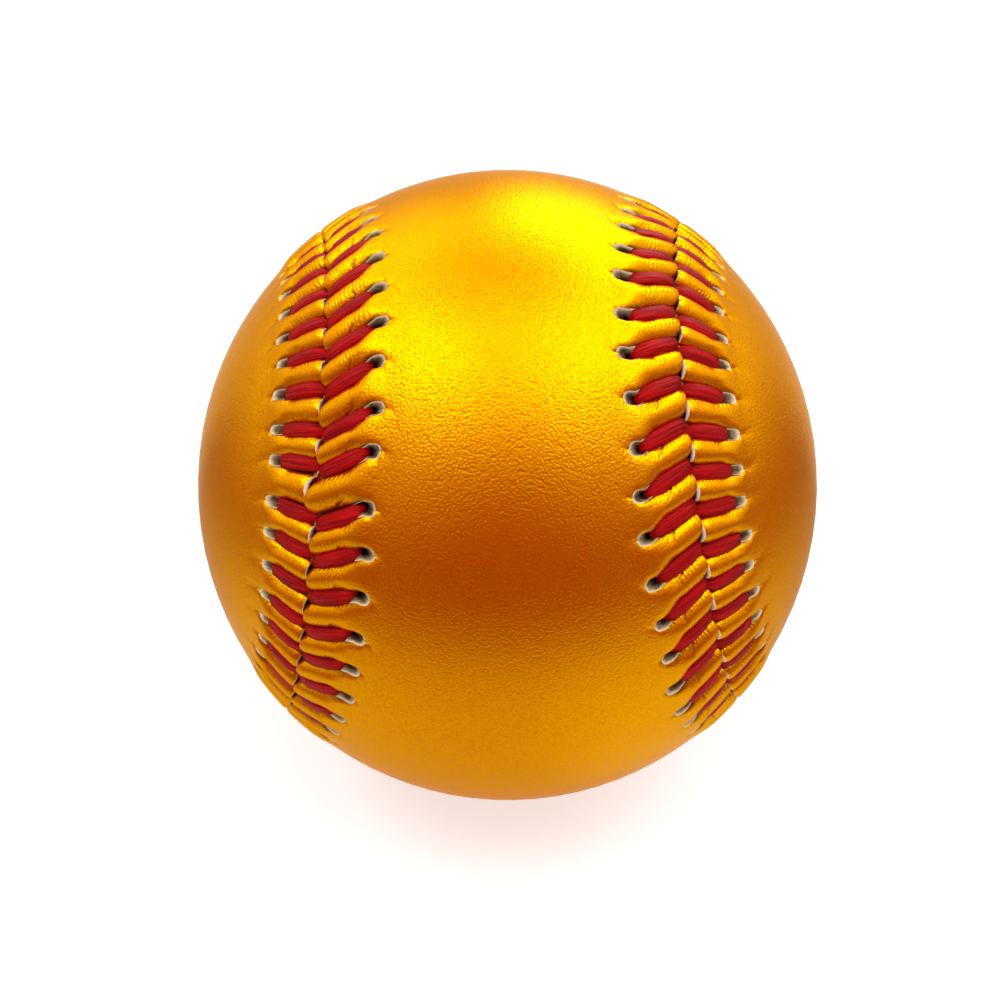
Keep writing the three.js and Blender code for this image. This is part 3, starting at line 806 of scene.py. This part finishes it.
# Pale sweep: matt white paper that fades to plain white, with the ball's shadow on it
sweep, tree, shader, place = new_finish("pale_sweep")
spread = add_node(tree, "ShaderNodeVectorMath", {
    0: place.outputs["Object"]}, operation="LENGTH")
far_lift = add_node(tree, "ShaderNodeMapRange", {
    "Value": spread.outputs["Value"], "From Min": 0.1, "From Max": 0.6,
    "To Min": 0.6, "To Max": 0.9})
lift = add_node(tree, "ShaderNodeMath", {
    0: shown_rays(tree), 1: far_lift.outputs["Result"]}, operation="MULTIPLY")
tree.links.new(lift.outputs["Value"], shader.inputs["Emission Strength"])
shader.inputs["Emission Color"].default_value = linear("#ffffff")
shader.inputs["Base Color"].default_value = linear("#e0e0e0")
shader.inputs["Roughness"].default_value = 0.9
floor_shape = bmesh.new()
bmesh.ops.create_grid(floor_shape, x_segments=1, y_segments=1, size=FLOOR_HALF)
bmesh.ops.translate(floor_shape, verts=floor_shape.verts, vec=(0, 0, visual_low.z))
new_object("floor", floor_shape, [sweep])

# Graded card: black in front of the ball, paler to the sides, to the top and close to the ball
card, tree, shader, place = new_finish("graded_card")
glow = add_node(tree, "ShaderNodeAttribute", attribute_name="glow")
tree.links.new(glow.outputs["Fac"], shader.inputs["Emission Strength"])
shader.inputs["Emission Color"].default_value = linear("#ffffff")
shader.inputs["Base Color"].default_value = linear("#0c0c0c")
shader.inputs["Roughness"].default_value = 1.0
shader.inputs["Specular IOR Level"].default_value = 0.0
CARD_REACH = 0.30
CARD_RISE = 0.30
CARD_FOOT = 0.03
CARD_LIFT = 0.002
CARD_TURN = math.radians(125)
# Brightness against paper white, of the card's foot, its sides and its top
FOOT_GLOW, FOOT_RIGHT_GAIN, FOOT_SIDE_LOSS = 1, 0.3, 0.4
FOOT_FADE = 0.65
LOW_SIDE_GLOW = 0.26
LEFT_GLOW, LEFT_START = 1.2, -0.1
RIGHT_GLOW, RIGHT_START = 1.4, 0.05
SIDE_END = 0.6
TOP_GLOW, TOP_END = 1.15, 1.1
TOP_FRONT_START, TOP_SIDE_DROP = 0.6, 0.5
card_shape = bmesh.new()
bmesh.ops.create_grid(card_shape, x_segments=48, y_segments=24, size=0.5)
glow_layer = card_shape.verts.layers.float.new("glow")
for vert in card_shape.verts:
    # Turns are in radians from straight ahead, with the left side below zero
    turn = 2 * CARD_TURN * vert.co.x
    swing = abs(turn)
    foot_share = min(1, max(0, 1 + 2 * vert.co.y)) ** 2
    wall_share = max(0, 2 * vert.co.y)
    side_glow, side_start = (LEFT_GLOW, LEFT_START) if turn < 0 else (RIGHT_GLOW, RIGHT_START)
    foot_glow = FOOT_GLOW + FOOT_RIGHT_GAIN * ease(turn, 0, 0.5) * ease(turn, 1.2, 0.7)
    foot_glow -= FOOT_SIDE_LOSS * ease(swing, 1.3, 1.9)
    low_glow = LOW_SIDE_GLOW * ease(swing, 0.2, 1.2)
    low_glow += foot_glow * (1 - ease(foot_share, 0, FOOT_FADE))
    low_glow += side_glow * ease(swing, 1.0, 1.6) * ease(wall_share, side_start, SIDE_END)
    top_start = TOP_FRONT_START - TOP_SIDE_DROP * ease(swing, 0.15, 0.55)
    top_gain = max(0, TOP_GLOW - low_glow) * ease(wall_share, top_start, TOP_END)
    vert[glow_layer] = low_glow + top_gain
    reach = CARD_FOOT + (CARD_REACH - CARD_FOOT) * foot_share
    rise = visual_low.z + CARD_LIFT + CARD_RISE * wall_share
    vert.co = (reach * math.sin(turn), -reach * math.cos(turn), rise)
flag = new_object("flag", card_shape, [card])
flag.visible_camera = False
flag.visible_diffuse = False
flag.visible_shadow = False

# The room: white where it is seen or mirrored, and a faint fill elsewhere
world = bpy.data.worlds.new("room")
bpy.context.scene.world = world
world.use_nodes = True
tree = world.node_tree
tree.nodes.clear()
room_glow = add_node(tree, "ShaderNodeMapRange", {
    "Value": shown_rays(tree), "To Min": 0.08, "To Max": 1.0})
room = add_node(tree, "ShaderNodeBackground", {
    "Color": linear("#ffffff"), "Strength": room_glow.outputs["Result"]})
add_node(tree, "ShaderNodeOutputWorld", {"Surface": room.outputs["Background"]})

# Soft boxes: direction from the ball, width, height and brightness against paper white.
# The film mirrors every box but the fill, and the back boxes only show as reflections.
SOFT_BOX_REACH = 0.55
SOFT_BOXES = {
    "top": ((0.0, -0.20, 0.97), 0.42, 0.40, 1.7),
    "left": ((-0.479, -0.194, 0.857), 0.40, 0.18, 4.0),
    "right": ((0.492, -0.140, 0.858), 0.48, 0.26, 3.0),
    "back": ((0.30, 0.62, 0.72), 0.40, 0.28, 5.5),
    "back_left": ((-0.43, 0.51, 0.74), 0.36, 0.30, 2.0),
    "fill": ((0.0, -0.97, 0.18), 0.50, 0.30, 2.6)}
for name, (way, width, height, brightness) in SOFT_BOXES.items():
    lamp = bpy.data.lights.new("soft_box_" + name, "AREA")
    lamp.shape = "RECTANGLE"
    lamp.size = width
    lamp.size_y = height
    lamp.energy = brightness * math.pi * width * height
    box = bpy.data.objects.new("soft_box_" + name, lamp)
    box.location = Vector(way).normalized() * SOFT_BOX_REACH
    box.rotation_euler = box.location.to_track_quat("Z", "Y").to_euler()
    box.visible_camera = False
    box.visible_glossy = name != "fill"
    box.visible_diffuse = name not in ("back", "back_left")
    bpy.context.scene.collection.objects.link(box)

# Camera: close to the ball, a third of a right angle above it
CAMERA_RISE = math.radians(30.9)
CAMERA_REACH = 2.95 * BALL_RADIUS * MM
lens = bpy.data.cameras.new("camera")
lens.lens = 31.5
lens.sensor_width = 36
lens.shift_x = -0.0075
lens.shift_y = -0.015
lens.clip_start = 0.01
camera = bpy.data.objects.new("camera", lens)
camera.location = Vector((0, -math.cos(CAMERA_RISE), math.sin(CAMERA_RISE))) * CAMERA_REACH
camera.rotation_euler = camera.location.to_track_quat("Z", "Y").to_euler()
bpy.context.scene.collection.objects.link(camera)
bpy.context.scene.camera = camera
bpy.context.scene.view_settings.view_transform = "Standard"
